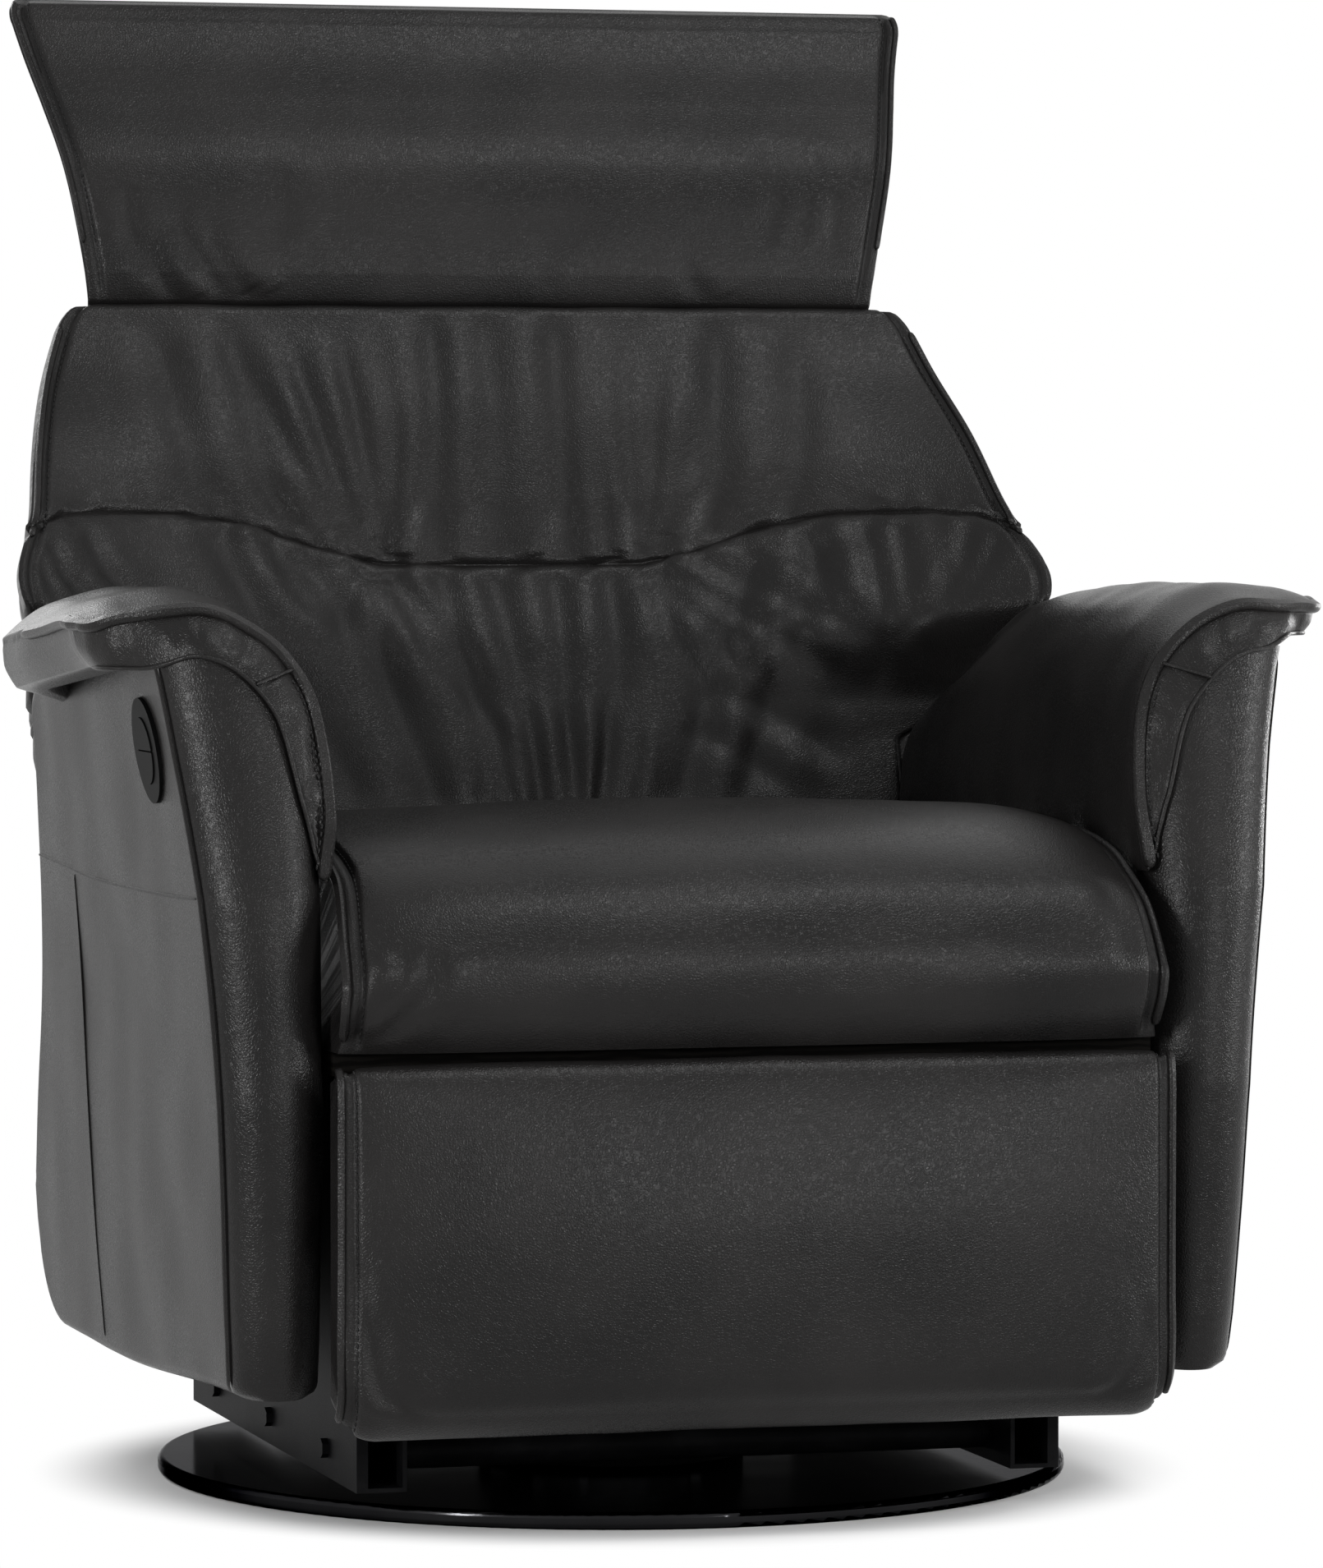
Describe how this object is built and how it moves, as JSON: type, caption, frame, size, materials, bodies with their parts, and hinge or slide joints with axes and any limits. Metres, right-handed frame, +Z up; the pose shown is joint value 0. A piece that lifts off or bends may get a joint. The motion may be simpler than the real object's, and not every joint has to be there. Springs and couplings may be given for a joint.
{
  "type": "power swivel recliner armchair",
  "caption": "Upholstered power recliner armchair with winged over-arm pads, tilting headrest, fold-out footrest and two-button switch, turning on a flat round disc base.",
  "frame": {"origin": "on the floor, on the swivel axis, at the middle of the base disc's flat underside", "axes": "+Z up, the chair faces -Y, +X to the right as seen by someone facing the chair"},
  "size_m": [0.88, 0.8662, 1.0725],
  "materials": {
    "leather": "semi-gloss grained black",
    "lacquer": "gloss black",
    "black_steel": "satin black powder coat",
    "bright_steel": "zinc plated",
    "plywood": "raw plywood",
    "plastic": "fine matt black",
    "board": "green circuit board",
    "felt": "pressed felt",
    "webbing": "woven elastic"
  },
  "bodies": {
    "base": {"base_disc": "lacquer", "glide_pads": "felt", "swivel_post": "black_steel", "flange_bolts": "bright_steel", "lower_race": "bright_steel", "bearing_balls": "bright_steel", "post_washer": "bright_steel", "post_nut": "bright_steel"},
    "chassis": {"upper_race": "bright_steel", "swivel_plate": "black_steel", "left_rail": "black_steel", "right_rail": "black_steel", "front_cross_tube": "black_steel", "rear_cross_tube": "black_steel", "rail_brackets": "black_steel", "left_side_plate": "black_steel", "right_side_plate": "black_steel", "side_plate_bolts": "bright_steel", "seat_deck": "plywood", "left_seat_rail": "plywood", "right_seat_rail": "plywood", "arm_bolts": "bright_steel", "left_arm_panel": "plywood", "right_arm_panel": "plywood", "left_arm_body": "leather", "right_arm_body": "leather", "left_arm_pad": "leather", "right_arm_pad": "leather", "rear_panel": "leather", "seat_cushion": "leather", "drive_rail": "bright_steel", "drive_motor": "plastic", "control_box": "plastic", "power_inlet": "plastic", "switch_bezel": "plastic", "switch_board": "board"},
    "carriage": {"drive_carriage": "black_steel"},
    "lower_links": {"footrest_torque_tube": "black_steel", "lower_links": "black_steel", "lower_pivot_pins": "bright_steel", "link_pins": "bright_steel"},
    "upper_links": {"upper_links": "black_steel", "toe_pins": "bright_steel"},
    "footrest": {"footrest_brackets": "black_steel", "footrest_board": "plywood", "footrest_pad": "leather"},
    "back": {"back_torque_tube": "black_steel", "back_pivot_pins": "bright_steel", "back_uprights": "black_steel", "back_cross_tubes": "black_steel", "back_webbing": "webbing", "back_cushion": "leather", "back_shell": "leather", "headrest_posts": "black_steel"},
    "headrest": {"headrest_frame": "black_steel", "headrest_pins": "bright_steel", "headrest_pad": "leather"},
    "upper_button": {"upper_button": "plastic"},
    "lower_button": {"lower_button": "plastic"}
  },
  "joints": [
    {"name": "swivel", "type": "hinge", "parent": "base", "child": "chassis", "pos_m": [0, 0, 0.04], "axis": [0, 0, 1], "continuous": true},
    {"name": "recline", "type": "hinge", "parent": "chassis", "child": "back", "pos_m": [0, 0.205, 0.335], "axis": [-1, 0, 0], "range_deg": [0, 35]},
    {"name": "headrest_tilt", "type": "hinge", "parent": "back", "child": "headrest", "pos_m": [0, 0.40499, 0.86052], "axis": [1, 0, 0], "range_deg": [0, 35]},
    {"name": "lower_link_swing", "type": "hinge", "parent": "chassis", "child": "lower_links", "pos_m": [0, -0.2, 0.29], "axis": [-1, 0, 0], "range_deg": [0, 45]},
    {"name": "upper_link_swing", "type": "hinge", "parent": "lower_links", "child": "upper_links", "pos_m": [0, -0.23386, 0.098], "axis": [-1, 0, 0], "range_deg": [-90, 0]},
    {"name": "footrest_turn", "type": "hinge", "parent": "upper_links", "child": "footrest", "pos_m": [0, -0.26771, 0.29], "axis": [-1, 0, 0], "range_deg": [0, 135]},
    {"name": "carriage_slide", "type": "slide", "parent": "chassis", "child": "carriage", "axis": [0, -1, 0], "range_m": [0, 0.0482]},
    {"name": "upper_button_press", "type": "slide", "parent": "chassis", "child": "upper_button", "axis": [0.987, 0, 0.1607], "range_m": [0, 0.002], "stiffness_N_per_m": 800},
    {"name": "lower_button_press", "type": "slide", "parent": "chassis", "child": "lower_button", "axis": [0.987, 0, 0.1607], "range_m": [0, 0.002], "stiffness_N_per_m": 800}
  ],
  "couplings": [
    {"joint": "lower_link_swing", "follows": "recline", "ratio": 1.2857},
    {"joint": "upper_link_swing", "follows": "recline", "ratio": -2.5714},
    {"joint": "footrest_turn", "follows": "recline", "ratio": 3.8571},
    {"joint": "carriage_slide", "follows": "recline", "m_per_rad": 0.078762}
  ]
}
